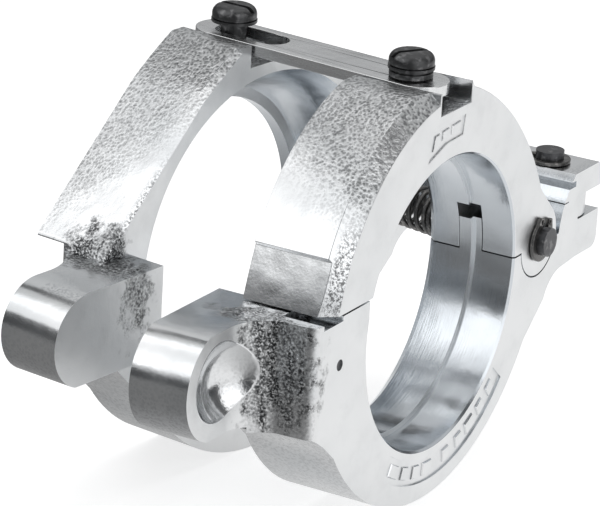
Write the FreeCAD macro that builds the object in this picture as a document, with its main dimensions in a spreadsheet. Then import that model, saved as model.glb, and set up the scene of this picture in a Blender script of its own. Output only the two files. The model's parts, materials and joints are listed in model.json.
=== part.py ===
# Hinged twin-ring pressing collar, in millimetres.
#
# Two hinged rings stand side by side on one pipe.  Their lower jaws are joined at the back by an upright
# pin, so that the rings open like a V towards the front.  Their upper jaws are tied by a link bar and swing
# up together.  A pressing tool grips the dimples of the two front lugs and closes the V against a spring.
#
# X runs along the pipe, Y from the lugs at the front to the hinge block at the back, Z is up, and the
# origin is the centre of the near ring's bore.  The near ring lies square to these axes.  The far ring is
# drawn in a frame of its own, laid out in the same way, and then placed at the V's rest angle.

import FreeCAD
import Part
import math
import os

Vector = FreeCAD.Vector
Rotation = FreeCAD.Rotation
Placement = FreeCAD.Placement

doc = FreeCAD.newDocument("pressing_collar")
sheet = doc.addObject("Spreadsheet::Sheet", "sizes")

SIZES = [
    ("half_width", 13.0),  # half of a ring's width along the pipe
    ("bore_radius", 38.5),  # the near ring's pressing land, over a 76 mm pipe
    ("mouth_radius", 40.0),  # the near ring's wider outer half
    ("mouth_start", 0.5),  # where the near ring's outer half begins
    ("far_face", 10.5),  # the far ring's inner face, from its middle
    ("recess_radius", 46.5),  # the far ring's recess for the sleeve's collar
    ("recess_mouth", 50.0),  # the recess at the far ring's inner face
    ("recess_floor", 41.0),  # the recess at its blind end
    ("lip_radius", 38.0),  # the far ring's lip behind the collar
    ("outer_radius", 61.0),  # front half of an upper jaw
    ("jaw_top", 59.4),  # flat top of an upper jaw
    ("jaw_pin_y", 54.5),
    ("jaw_pin_z", 2.5),
    ("pin_radius", 4.0),
    ("running_gap", 0.06),  # radial play of a turning hole on its pin
    ("lobe_radius", 10.2),  # cheeks of the upper jaw round the jaw pin
    ("socket_radius", 10.6),  # seat of those cheeks in the lower jaw
    ("tongue_half", 3.0),  # half thickness of the lower jaw's tongue
    ("slot_half", 3.2),  # half width of the slot that takes it
    ("slot_roof", 15.0),
    ("lug_y", -84.0),  # centre of a lug's round nose
    ("lug_radius", 13.0),
    ("lug_inner", 22.0),  # a lug's flat inner face, from its ring's middle
    ("lug_outer", 5.2),  # the near lug's outer face, from its ring's middle
    ("far_lug_outer", 4.0),  # the far lug's outer face, from its ring's middle
    ("dimple_radius", 13.5),  # ball seat in a lug's outer face
    ("dimple_depth", 5.0),
    ("pivot_x", 1.7),
    ("pivot_y", 80.6),
    ("ring_spacing", 46.0),  # between the rings' middles with the V closed
    ("v_angle", 7.5),  # how far the V stands open at rest
    ("block_top", 16.0),
    ("block_low", -9.0),
    ("block_back", 91.0),
    ("eye_low", 2.3),  # the hinge arm's eye
    ("eye_high", 8.7),
    ("eye_radius", 10.9),
    ("fork_low", 2.0),  # the slot in the hinge block
    ("fork_high", 9.0),
    ("bar_low", 56.4),
    ("bar_thick", 3.1),
    ("bar_half", 7.7),
    ("bar_yaw", 6.0),  # the bar's turn on the near jaw at rest
    ("near_screw_x", -1.0),
    ("far_screw_x", -2.2),
    ("far_screw_y", -1.2),
    ("near_floor", 53.4),  # floor of the bar's channel, near jaw
    ("far_floor", 53.2),  # floor of the bar's channel, far jaw
    ("near_shoulder", 4.0),
    ("far_shoulder", 3.5),
    ("thread_radius", 3.0),
    ("collar_radius", 5.8),
    ("collar_low", 59.9),  # underside of the near screw's collar, just clear of the bar
    ("washer_radius", 6.2),
    ("washer_low", 61.9),
    ("washer_thick", 0.8),
    ("head_radius", 6.05),
    ("head_low", 63.1),
    ("head_height", 3.3),
    ("clip_thick", 1.0),
    ("clip_radius", 5.9),
    ("groove_radius", 3.7),
    ("guide_radius", 3.8),  # spigot on a jaw pin that guides the spring
    ("pin_head_radius", 6.0),
    ("spring_radius", 6.6),
    ("spring_wire", 1.8),
    ("latch_y", -54.0),
    ("latch_radius", 3.0),
    ("latch_pin_radius", 1.5),
    ("front_parting", 12.4),  # where the near ring's jaws meet at the front
    ("far_parting", -12.2),  # where the far ring's jaws meet, under the lug
]
for row, (alias, value) in enumerate(SIZES, 1):
    cell = "A%d" % row
    sheet.set(cell, str(value))
    sheet.setAlias(cell, alias)
doc.recompute()


class Values:
    """The sheet's numbers, for outlines that are worked out here."""


size = Values()
for alias, value in SIZES:
    setattr(size, alias, float(sheet.get(alias)))

JAW_PIN = (size.jaw_pin_y, size.jaw_pin_z)


def bind(thing, prop, rule):
    """Give a property its rule, in which each word is an alias of the sheet."""
    text = rule
    for alias in sorted((a for a, _ in SIZES), key=len, reverse=True):
        text = replace_word(text, alias)
    thing.setExpression(prop, text)


def replace_word(text, alias):
    """Point one alias of a rule at the sheet."""
    out = []
    for word in text.split(" "):
        bare = word.strip("()")
        out.append(word.replace(bare, "sizes." + alias) if bare == alias else word)
    return " ".join(out)


# ---------------------------------------------------------------- primitives

AXIS_TURN = {
    "X": Rotation(Vector(0, 1, 0), 90),
    "Y": Rotation(Vector(1, 0, 0), -90),
    "Z": Rotation(),
}


def rod(name, axis, radius, start, length, centre=("0", "0")):
    """A cylinder along an axis.  centre gives the two other coordinates, in X, Y, Z order."""
    piece = doc.addObject("Part::Cylinder", name)
    piece.Placement = Placement(Vector(), AXIS_TURN[axis])
    bind(piece, "Radius", radius)
    bind(piece, "Height", length)
    others = [a for a in "XYZ" if a != axis]
    bind(piece, "Placement.Base." + axis.lower(), start)
    bind(piece, "Placement.Base." + others[0].lower(), centre[0])
    bind(piece, "Placement.Base." + others[1].lower(), centre[1])
    return piece


def cone_x(name, radius_low, radius_high, start, length):
    """A cone along X about the bore's axis."""
    piece = doc.addObject("Part::Cone", name)
    piece.Placement = Placement(Vector(), AXIS_TURN["X"])
    bind(piece, "Radius1", radius_low)
    bind(piece, "Radius2", radius_high)
    bind(piece, "Height", length)
    bind(piece, "Placement.Base.x", start)
    return piece


def box(name, low, high):
    """A block between two corners, each given as three rules."""
    piece = doc.addObject("Part::Box", name)
    for prop, letter, a, b in zip(("Length", "Width", "Height"), "xyz", low, high):
        bind(piece, prop, "( " + b + " ) - ( " + a + " )")
        bind(piece, "Placement.Base." + letter, a)
    return piece


def ball(name, radius, centre):
    """A sphere about a centre given as three rules."""
    piece = doc.addObject("Part::Sphere", name)
    bind(piece, "Radius", radius)
    for letter, rule in zip("xyz", centre):
        bind(piece, "Placement.Base." + letter, rule)
    return piece


# Sketch planes: a profile is drawn in (Y, Z) and pushed along X, in (X, Z) and pushed towards -Y, or in
# (X, Y) and pushed up Z.
PLANE_TURN = {
    "X": Rotation(Vector(0, 1, 0), Vector(0, 0, 1), Vector(1, 0, 0), "ZXY"),
    "Y": Rotation(Vector(1, 0, 0), 90),
    "Z": Rotation(),
}


def prism(name, axis, path, start, length):
    """Push a closed outline along X, towards -Y or along Z.

    path is a list of points.  A point written ("arc", middle, end) is reached by the arc through middle.
    """
    sketch = doc.addObject("Sketcher::SketchObject", name + "_outline")
    sketch.Placement = Placement(Vector(), PLANE_TURN[axis])
    here = path[0]
    for step in path[1:] + [path[0]]:
        if step[0] == "arc":
            middle, end = step[1], step[2]
            arc = Part.Arc(Vector(*here, 0), Vector(*middle, 0), Vector(*end, 0))
            sketch.addGeometry(arc, False)
        else:
            end = step
            sketch.addGeometry(Part.LineSegment(Vector(*here, 0), Vector(*end, 0)), False)
        here = end
    piece = doc.addObject("Part::Extrusion", name)
    piece.Base = sketch
    piece.DirMode = "Normal"
    piece.Solid = True
    bind(piece, "LengthFwd", length)
    bind(sketch, "Placement.Base." + axis.lower(), start)
    return piece


def fuse(name, *pieces):
    """Join pieces into one."""
    joined = doc.addObject("Part::MultiFuse", name)
    joined.Shapes = list(pieces)
    return joined


def common(name, first, second):
    """Keep what two pieces share."""
    shared = doc.addObject("Part::Common", name)
    shared.Base = first
    shared.Tool = second
    return shared


def cut(name, base, *tools):
    """Cut tools away from a base."""
    rest = doc.addObject("Part::Cut", name)
    rest.Base = base
    rest.Tool = fuse(name + "_cutters", *tools) if len(tools) > 1 else tools[0]
    return rest


# ---------------------------------------------------------------- where the far ring stands

theta = math.radians(size.v_angle)
closed_x = -size.ring_spacing - size.pivot_x
closed_y = -size.pivot_y
FAR_CENTRE = Vector(
    size.pivot_x + closed_x * math.cos(theta) + closed_y * math.sin(theta),
    size.pivot_y - closed_x * math.sin(theta) + closed_y * math.cos(theta),
    0,
)
FAR_PLACE = Placement(FAR_CENTRE, Rotation(Vector(0, 0, 1), -size.v_angle))
NEAR_PLACE = Placement()
print("far ring centre at rest", [round(v, 3) for v in FAR_CENTRE])

nodes = []


def keep(piece, label, place=NEAR_PLACE):
    """Name a finished sub-part and put it in its place."""
    piece.Label = label
    piece.Placement = place.multiply(piece.Placement)
    nodes.append(piece)
    return piece


# ---------------------------------------------------------------- outlines shared by both rings

NOSE = size.lug_y - size.lug_radius
RING_FRONT = -66.0  # front of the near lower jaw's block
LUG_BACK = -56.0  # back of a lug's overhanging plate
TOP_START = (-14.0, size.jaw_top)  # where an upper jaw's flat top begins
REAR_LOW = 1.0  # the lower jaws' parting face at the back
REAR_GAP = 0.4


def on_circle(radius, angle, centre=(0, 0)):
    """A point of the (Y, Z) plane at an angle in degrees from +Y."""
    turn = math.radians(angle)
    return (centre[0] + radius * math.cos(turn), centre[1] + radius * math.sin(turn))


def lobe(angle):
    """A point on the round cheek about the jaw pin."""
    return on_circle(size.lobe_radius, angle, JAW_PIN)


def upper_outline(front):
    """Side view of an upper jaw, from the front's foot over the top to the hinge and back."""
    rear_foot = REAR_LOW + REAR_GAP
    return front + [
        (8.0, size.jaw_top),
        (9.5, 57.4),
        ("arc", (34.6, 42.3), (53.4, 17.6)),
        lobe(48),
        ("arc", lobe(-35), lobe(-174)),
        (43.2, rear_foot),
        (33.0, rear_foot),
    ]


def lower_outline(front):
    """Side view of a lower jaw, from under the pipe to the hinge block and back."""
    return front + [
        (60.2, -16.4),
        ("arc", (64.0, -11.6), (70.0, -9.6)),
        (78.0, size.block_low),
        (size.block_back - 3.0, size.block_low),
        ("arc", (size.block_back - 0.9, size.block_low + 0.9), (size.block_back, size.block_low + 3.0)),
        (size.block_back, size.block_top - 1.5),
        (size.block_back - 1.5, size.block_top),
        (75.0, size.block_top),
        ("arc", (70.0, 10.4), (66.6, REAR_LOW)),
        (33.0, REAR_LOW),
    ]


def lug_side(name, outline):
    """Side view of a lug, over the lug's full reach along the pipe."""
    return prism(name, "X", outline, "-30", "60")


def lug_dimple(name, sign, outer):
    """The ball seat pressed into a lug's outer face, which is at sign times outer."""
    reach = "( " + outer + " - dimple_radius + dimple_depth )"
    x = reach if sign > 0 else "0 - " + reach
    return ball(name, "dimple_radius", (x, "lug_y + 2.0", "-1"))


def facet_wedge(name, start, end, leg, face):
    """A long wedge that breaks the edge between a ring's flat facet and its side face.

    The facet runs from start to end in (Y, Z), with the metal on its right.
    """
    along = Vector(0, end[0] - start[0], end[1] - start[1])
    reach = along.Length
    along.normalize()
    normal = along.cross(Vector(1, 0, 0))
    frame = FreeCAD.Matrix(1, 0, 0, 0, 0, normal.y, along.y, start[0], 0, normal.z, along.z, start[1], 0, 0, 0, 1)
    corners = [(face - leg, 0), (face, -leg), (face + 1, -leg), (face + 1, 1), (face - leg, 1)]
    sketch = doc.addObject("Sketcher::SketchObject", name + "_outline")
    for a, b in zip(corners, corners[1:] + corners[:1]):
        sketch.addGeometry(Part.LineSegment(Vector(*a, 0), Vector(*b, 0)), False)
    sketch.Placement = Placement(frame)
    wedge = doc.addObject("Part::Extrusion", name)
    wedge.Base = sketch
    wedge.DirMode = "Normal"
    wedge.Solid = True
    wedge.LengthFwd = reach
    return wedge


# ---------------------------------------------------------------- hinge pieces shared by both rings


def tongue(name):
    """The lower jaw's middle plate, which goes up into the upper jaw and round the jaw pin."""
    y, z = JAW_PIN
    outline = [
        (36.0, -3.0),
        (36.0, 10.5),
        (48.0, 12.2),
        ("arc", on_circle(10.0, 62, JAW_PIN), on_circle(10.0, 0, JAW_PIN)),
        (y + 11.6, -8.0),
        (y, z - 14.0),
    ]
    return prism(name, "X", outline, "- tongue_half", "2 * tongue_half")


def pin_hole(name, radius):
    """The jaw pin's hole, right through a ring."""
    return rod(name, "X", radius, "-20", "40", ("jaw_pin_y", "jaw_pin_z"))


def cheek_seats(name):
    """Room in the lower jaw for the upper jaw's two round cheeks, either side of the tongue."""
    centre = ("jaw_pin_y", "jaw_pin_z")
    long = "half_width - tongue_half + 1"
    right = rod(name + "_a", "X", "socket_radius", "tongue_half", long, centre)
    left = rod(name + "_b", "X", "socket_radius", "0 - half_width - 1", long, centre)
    return [right, left]


def near_bore(name):
    """The near ring's bore: the pressing land, then a step to the wider mouth, with broken edges."""
    land = rod(name + "_land", "X", "bore_radius", "-20", "40")
    mouth = rod(name + "_mouth", "X", "mouth_radius", "mouth_start", "20")
    edge = cone_x(name + "_edge", "mouth_radius", "mouth_radius + 0.7", "half_width - 0.6", "0.7")
    back = cone_x(name + "_back", "bore_radius + 2", "bore_radius", "- half_width", "2")
    return [land, mouth, edge, back]


def far_bore(name):
    """The far ring's bore: a tapered collar recess open to the near ring, and a lip behind it."""
    lip = rod(name + "_lip", "X", "lip_radius", "-20", "40")
    recess = cone_x(name + "_recess", "recess_floor", "recess_radius", "-9", "14.5")
    mouth = cone_x(name + "_mouth", "recess_radius", "recess_mouth", "5.5", "far_face - 5.5")
    rim = rod(name + "_rim", "X", "recess_mouth", "far_face", "5")
    return [lip, recess, mouth, rim]


def edge_bevel(name):
    """The sloping edge along the near upper jaw's outer face: what lies outside a cone, front half only."""
    block = box(name + "_block", ("7", "-80", "10"), ("14", "-9", "80"))
    core = cone_x(name + "_core", "outer_radius + 1.2", "outer_radius - 4.6", "7", "7")
    return cut(name, block, core)


def far_channel(name):
    """The straight, roomy channel across the far jaw's top."""
    return box(name, ("-14", "-9.3", "far_floor"), ("14", "9.3", "70"))


def near_channel(name):
    """The near jaw's channel, flared towards the far ring to let the bar swing round its screw."""
    half = size.bar_half + 0.3
    flare = 15.0 * math.tan(math.radians(size.bar_yaw)) + 0.1
    plan = [
        (-14.0, -half - 0.5),
        (0.0, -half - 0.1),
        (4.0, -half - 0.4),
        (14.0, -half - 0.4),
        (14.0, half),
        (0.0, half + 0.1),
        (-14.0, half + flare),
    ]
    return prism(name, "Z", plan, "near_floor", "20")


# ---------------------------------------------------------------- near lower jaw

near_front = [
    (-36.0, 5.0),
    (-41.0, 9.0),
    (-46.5, size.front_parting),
    (RING_FRONT, size.front_parting),
    (RING_FRONT, -17.0),
    (-60.0, -21.0),
    (-54.3, -25.9),
    ("arc", (-3.5, -53.9), (49.6, -25.3)),
]
near_lower_ring = prism("near_lower_ring", "X", lower_outline(near_front), "- half_width", "2 * half_width")
near_lug_side = lug_side(
    "near_lug_side",
    [
        (size.lug_y, size.lug_radius),
        ("arc", (NOSE, -0.8), (-87.0, -15.4)),
        ("arc", (-77.0, -16.9), (RING_FRONT, -17.6)),
        (-50.0, -20.0),
        (-40.0, -20.0),
        (-40.0, size.lug_radius),
    ],
)


def near_plan(name):
    """Plan of the near lug and of the block that it grows from."""
    return prism(
        name,
        "Z",
        [
            (-size.lug_inner, LUG_BACK),
            (-size.lug_inner, NOSE - 1.0),
            (-size.lug_outer, NOSE - 1.0),
            (-size.lug_outer, -79.0),
            ("arc", (-3.0, -71.2), (2.6, RING_FRONT - 0.6)),
            (10.0, RING_FRONT),
            ("arc", (12.2, RING_FRONT + 1.0), (size.half_width, RING_FRONT + 3.4)),
            (size.half_width, -30.0),
            (-size.half_width, -30.0),
            (-size.half_width, LUG_BACK),
        ],
        "-40",
        "80",
    )


near_lug_draft = prism("near_lug_draft", "Y", [(-30, -12.2), (-30, -30), (-3, -30), (-3, -15.9)], "-69", "50")
near_lug = cut("near_lug", common("near_lug_full", near_lug_side, near_plan("near_lug_plan")), near_lug_draft)
near_lower_flat = box("near_lower_flat", ("-30", "-120", "front_parting"), ("30", "-30", "40"))
near_front_trim = common(
    "near_front_trim",
    near_lower_ring,
    fuse("near_keep", box("near_keep_back", ("-14", "-62", "-70"), ("14", "100", "40")), near_plan("near_keep_plan")),
)
near_body = fuse("near_lower_body", near_front_trim, near_lug)
near_hinge = cut("near_lower_seats", near_body, *cheek_seats("near_seat"))
near_with_tongue = fuse("near_lower_with_tongue", near_hinge, tongue("near_tongue"))
near_lower_jaw = cut(
    "near_lower_shape",
    near_with_tongue,
    near_lower_flat,
    *near_bore("near_lower_bore"),
    pin_hole("near_lower_pin_hole", "pin_radius"),
    lug_dimple("near_dimple", -1, "lug_outer"),
    rod("near_pivot_hole", "Z", "pin_radius", "-20", "50", ("pivot_x", "pivot_y")),
    rod("near_fork_round", "Z", "eye_radius + 0.7", "fork_low", "fork_high - fork_low", ("pivot_x", "pivot_y")),
    box("near_fork_side", ("-20", "pivot_y - eye_radius - 0.7", "fork_low"), ("pivot_x", "100", "fork_high")),
    box("near_fork_back", ("-20", "79.5", "fork_low"), ("20", "100", "fork_high")),
    box("near_block_groove", ("-20", "68", "12.4"), ("20", "75.4", "14.1")),
    box("near_block_seam", ("-20", "64", "8.7"), ("20", "71.6", "9.0")),
    rod("near_latch_bore", "Z", "latch_radius", "-18", "60", ("0", "latch_y")),
    rod("near_latch_cross", "X", "latch_pin_radius", "-20", "40", ("latch_y", "-0.6")),
    box("near_parting_pocket", ("1", "-63", "front_parting - 1.3"), ("14", "latch_y + 0.5", "20")),
    prism(
        "near_label_recess",
        "X",
        [
            on_circle(42.6, -123),
            ("arc", on_circle(42.6, -82), on_circle(42.6, -41)),
            on_circle(49.4, -41),
            ("arc", on_circle(49.4, -82), on_circle(49.4, -123)),
        ],
        "half_width - 0.5",
        "2",
    ),
)
keep(near_lower_jaw, "near_lower_jaw")

# ---------------------------------------------------------------- near upper jaw

near_upper_front = [
    (-33.0, size.front_parting + 0.4),
    (-59.4, size.front_parting + 0.4),
    ("arc", on_circle(60.3, 162), on_circle(60.3, 154.5)),
    on_circle(size.outer_radius, 154),
    ("arc", on_circle(size.outer_radius, 132), TOP_START),
]
near_upper_ring = prism(
    "near_upper_ring", "X", upper_outline(near_upper_front), "- half_width", "2 * half_width"
)
keep(
    cut(
        "near_upper_shape",
        near_upper_ring,
        *near_bore("near_upper_bore"),
        edge_bevel("near_bevel"),
        pin_hole("near_upper_pin_hole", "pin_radius + running_gap"),
        box("near_tongue_slot", ("- slot_half", "30", "-20"), ("slot_half", "80", "slot_roof")),
        near_channel("near_channel"),
        rod("near_screw_hole", "Z", "thread_radius + running_gap", "30", "40", ("near_screw_x", "0")),
        ball("near_latch_seat", "3.2", ("0", "latch_y", "front_parting - 0.2")),
        prism(
            "near_plaque",
            "X",
            [(-13.5, 42.0), (-11.5, 49.8), (5.6, 50.8), (4.6, 45.6), (-4.0, 45.2)],
            "half_width - 0.4",
            "2",
        ),
    ),
    "near_upper_jaw",
)

# ---------------------------------------------------------------- far upper jaw, which carries the far lug

FACET_FOOT = (-65.0, 15.4)
FACET_HEAD = (-29.3, 49.2)
FAR_LUG_Y = size.lug_y - 0.9
FAR_LUG_RADIUS = size.lug_radius - 0.4
far_foot = size.far_parting + 0.3
far_upper_front = [
    (-33.0, far_foot),
    (RING_FRONT, far_foot),
    (RING_FRONT, FAR_LUG_RADIUS),
    FACET_FOOT,
    FACET_HEAD,
    ("arc", (-21.6, 54.7), TOP_START),
]
far_upper_ring = prism("far_upper_ring", "X", upper_outline(far_upper_front), "- half_width", "half_width + far_face")


def far_plan(name):
    """Plan of the far lug and of the body that it grows from, which is cut away on its outer side."""
    return prism(
        name,
        "Z",
        [
            (size.lug_inner, LUG_BACK),
            (size.lug_inner, NOSE - 2.0),
            (size.far_lug_outer, NOSE - 2.0),
            (size.far_lug_outer, -79.0),
            ("arc", (1.8, -71.6), (-3.4, -66.0)),
            (-size.half_width, -54.6),
            (-size.half_width, -30.0),
            (size.far_face, -30.0),
            (size.far_face, LUG_BACK),
        ],
        "-40",
        "80",
    )


far_trim = common(
    "far_front_trim",
    far_upper_ring,
    fuse(
        "far_keep",
        box("far_keep_back", ("-14", "-54", "-70"), ("14", "100", "70")),
        box("far_keep_top", ("-14", "-80", "14.2"), ("14", "0", "70")),
        far_plan("far_keep_plan"),
    ),
)
far_lug_side = lug_side(
    "far_lug_side",
    [
        (FAR_LUG_Y, FAR_LUG_RADIUS),
        ("arc", (FAR_LUG_Y - FAR_LUG_RADIUS, 0.0), (FAR_LUG_Y, -FAR_LUG_RADIUS)),
        (-40.0, -FAR_LUG_RADIUS),
        (-40.0, FAR_LUG_RADIUS),
    ],
)
far_lug = common("far_lug", far_lug_side, far_plan("far_lug_plan"))
far_lug_foot = box("far_lug_foot", ("-30", "-120", "-40"), ("30", "-30", "far_parting + 0.3"))
keep(
    cut(
        "far_upper_shape",
        fuse("far_upper_body", far_trim, far_lug),
        far_lug_foot,
        *far_bore("far_upper_bore"),
        facet_wedge("far_long_edge", FACET_HEAD, (-68.0, 12.56), 1.7, size.far_face),
        facet_wedge("far_short_edge", TOP_START, FACET_HEAD, 1.7, size.far_face),
        pin_hole("far_upper_pin_hole", "pin_radius + running_gap"),
        box("far_tongue_slot", ("- slot_half", "30", "-20"), ("slot_half", "80", "slot_roof")),
        far_channel("far_channel"),
        rod("far_screw_hole", "Z", "thread_radius", "30", "40", ("far_screw_x", "far_screw_y")),
        lug_dimple("far_dimple", 1, "far_lug_outer"),
        rod("far_latch_bore", "Z", "latch_radius", "-20", "37.3", ("-2", "latch_y + 3")),
        rod("far_latch_cross", "X", "latch_pin_radius", "-20", "40", ("latch_y + 3", "0.8")),
    ),
    "far_upper_jaw",
    FAR_PLACE,
)

# ---------------------------------------------------------------- far lower jaw, with the hinge arm

far_lower_front = [
    (-33.0, size.far_parting),
    (-61.0, size.far_parting),
    (-61.6, -16.5),
    (-42.1, -35.4),
    ("arc", (-5.0, -57.2), (49.6, -25.3)),
]
far_lower_ring = prism("far_lower_ring", "X", lower_outline(far_lower_front), "- half_width", "half_width + far_face")
arm_y = size.pivot_y - size.eye_radius
arm_back = size.pivot_y + size.eye_radius
eye_x = size.ring_spacing + size.pivot_x
far_arm_root = box(
    "far_arm_root",
    ("far_face - 2", "pivot_y - eye_radius", "block_low + 3"),
    ("ring_spacing - half_width - 2.5", "pivot_y + eye_radius", "block_top - 3"),
)
far_arm = prism(
    "far_arm",
    "Z",
    [
        (size.far_face - 1.0, arm_y),
        (eye_x, arm_y),
        ("arc", (eye_x + size.eye_radius, size.pivot_y), (eye_x, arm_back)),
        (size.far_face - 1.0, arm_back),
    ],
    "eye_low",
    "eye_high - eye_low",
)
far_hinge = cut("far_lower_seats", far_lower_ring, *cheek_seats("far_seat"))
keep(
    cut(
        "far_lower_shape",
        fuse("far_lower_body", far_hinge, tongue("far_tongue"), far_arm_root, far_arm),
        *far_bore("far_lower_bore"),
        pin_hole("far_lower_pin_hole", "pin_radius"),
        rod(
            "far_pivot_hole",
            "Z",
            "pin_radius + running_gap",
            "-20",
            "50",
            ("ring_spacing + pivot_x", "pivot_y"),
        ),
        ball("far_latch_seat", "3.2", ("-2", "latch_y + 3", "far_parting + 0.5")),
    ),
    "far_lower_jaw",
    FAR_PLACE,
)


# ---------------------------------------------------------------- bodies: turned and stamped pieces


def body_sketch(body, name, role="XY_Plane"):
    """A sketch on one of a body's own origin planes."""
    sketch = body.newObject("Sketcher::SketchObject", name)
    plane = [f for f in body.Origin.OriginFeatures if f.Role == role][0]
    sketch.AttachmentSupport = (plane, [""])
    sketch.MapMode = "FlatFace"
    return sketch


def add_circle(sketch, rule, centre=(0, 0)):
    """A circle whose radius follows a rule."""
    index = sketch.addGeometry(Part.Circle(Vector(*centre, 0), Vector(0, 0, 1), 1.0), False)
    if centre == (0, 0):
        import Sketcher

        sketch.addConstraint(Sketcher.Constraint("Coincident", index, 3, -1, 1))
    constraint = radius_constraint(sketch, index)
    bind(sketch, "Constraints[%d]" % constraint, rule)
    return index


def radius_constraint(sketch, index):
    """A radius constraint on a circle, and its number."""
    import Sketcher

    return sketch.addConstraint(Sketcher.Constraint("Radius", index, 1.0))


def pad_disc(body, name, radius, low, length):
    """A round pad from one height to another."""
    sketch = body_sketch(body, name + "_sketch")
    bind(sketch, "AttachmentOffset.Base.z", low)
    add_circle(sketch, radius)
    pad = body.newObject("PartDesign::Pad", name)
    pad.Profile = sketch
    bind(pad, "Length", length)
    return pad


def new_body(name):
    """An empty body."""
    return doc.addObject("PartDesign::Body", name)


ALONG_X = Rotation(Vector(0, 1, 0), 90)


def make_jaw_pin(label, place, outward, inner):
    """A jaw pin: a head with a spring spigot at the ring's inner face, a clip groove at the outer face.

    It is turned about its own Z, with z = 0 at the ring's middle and the clip's end up.
    """
    body = new_body(label)
    pad_disc(body, label + "_shank", "pin_radius", "0 - " + inner + " - 0.2", inner + " + half_width + 0.4")
    pad_disc(body, label + "_groove", "groove_radius", "half_width + 0.2", "clip_thick + 0.1")
    pad_disc(body, label + "_tip", "pin_radius", "half_width + clip_thick + 0.3", "2.2")
    pad_disc(body, label + "_head", "pin_head_radius", "0 - " + inner + " - 2", "1.9")
    pad_disc(body, label + "_spigot", "guide_radius", "0 - " + inner + " - 4.2", "2.3")
    tilt = ALONG_X if outward > 0 else Rotation(Vector(0, 1, 0), -90)
    body.Placement = Placement(Vector(0, size.jaw_pin_y, size.jaw_pin_z), tilt)
    return keep(body, label, place)


def clip_shape(body, name):
    """A shaft clip: an open ring, thicker opposite its mouth, with two drilled ears beside the mouth."""
    outer = size.clip_radius
    inner = size.groove_radius
    mouth = math.radians(28)
    ear = 2.6
    sketch = body_sketch(body, name)
    start = (inner * math.cos(mouth), inner * math.sin(mouth))
    ear_in = (outer * 0.93 * math.cos(mouth), outer * 0.93 * math.sin(mouth))
    points = [
        start,
        (inner + ear, start[1] - 0.3),
        (inner + ear, ear_in[1] + 0.9),
        (outer * math.cos(mouth * 1.9), outer * math.sin(mouth * 1.9)),
    ]
    below = [(x, -y) for x, y in points]

    def line(a, b):
        sketch.addGeometry(Part.LineSegment(Vector(*a, 0), Vector(*b, 0)), False)

    for a, b in zip(points, points[1:]):
        line(a, b)
    sketch.addGeometry(Part.Arc(Vector(*points[-1], 0), Vector(-outer, 0, 0), Vector(*below[-1], 0)), False)
    for a, b in zip(below, below[1:]):
        line(a, b)
    sketch.addGeometry(Part.Arc(Vector(*below[0], 0), Vector(-inner, 0, 0), Vector(*points[0], 0)), False)
    hole = (inner + ear - 1.15, (start[1] + ear_in[1]) / 2 + 0.3)
    for sign in (1, -1):
        sketch.addGeometry(Part.Circle(Vector(hole[0], sign * hole[1], 0), Vector(0, 0, 1), 0.6), False)
    pad = body.newObject("PartDesign::Pad", name + "_pad")
    pad.Profile = sketch
    bind(pad, "Length", "clip_thick")


def make_clip(label, centre, turn, place):
    """A shaft clip whose underside is at a point, turned as given."""
    body = new_body(label)
    clip_shape(body, label + "_ring")
    body.Placement = Placement(Vector(*centre), turn)
    return keep(body, label, place)


CLIP_FACE = size.half_width + 0.25
near_clip_turn = ALONG_X.multiply(Rotation(Vector(0, 0, 1), 165))
far_clip_turn = Rotation(Vector(0, 1, 0), -90).multiply(Rotation(Vector(0, 0, 1), 15))
make_jaw_pin("near_jaw_pin", NEAR_PLACE, 1, "half_width")
make_clip("near_jaw_pin_clip", (CLIP_FACE, size.jaw_pin_y, size.jaw_pin_z), near_clip_turn, NEAR_PLACE)
make_jaw_pin("far_jaw_pin", FAR_PLACE, -1, "far_face")
make_clip("far_jaw_pin_clip", (-CLIP_FACE, size.jaw_pin_y, size.jaw_pin_z), far_clip_turn, FAR_PLACE)

# The upright rear pin has a clip at each end.
rear_pin = new_body("rear_pivot_pin")
pad_disc(rear_pin, "rear_shank", "pin_radius", "block_low - 0.2", "block_top - block_low + 0.4")
pad_disc(rear_pin, "rear_top_groove", "groove_radius", "block_top + 0.2", "clip_thick + 0.1")
pad_disc(rear_pin, "rear_top_tip", "pin_radius", "block_top + clip_thick + 0.3", "2.2")
pad_disc(rear_pin, "rear_low_groove", "groove_radius", "block_low - clip_thick - 0.3", "clip_thick + 0.1")
pad_disc(rear_pin, "rear_low_tip", "pin_radius", "block_low - clip_thick - 2.5", "2.2")
rear_pin.Placement = Placement(Vector(size.pivot_x, size.pivot_y, 0), Rotation())
keep(rear_pin, "rear_pivot_pin")
PIVOT = (size.pivot_x, size.pivot_y)
clip_left = Rotation(Vector(0, 0, 1), 205)
make_clip("rear_pin_top_clip", (*PIVOT, size.block_top + 0.25), clip_left, NEAR_PLACE)
low_clip_z = size.block_low - size.clip_thick - 0.25
make_clip("rear_pin_low_clip", (*PIVOT, low_clip_z), clip_left, NEAR_PLACE)

# ---------------------------------------------------------------- link bar and its screws

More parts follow.
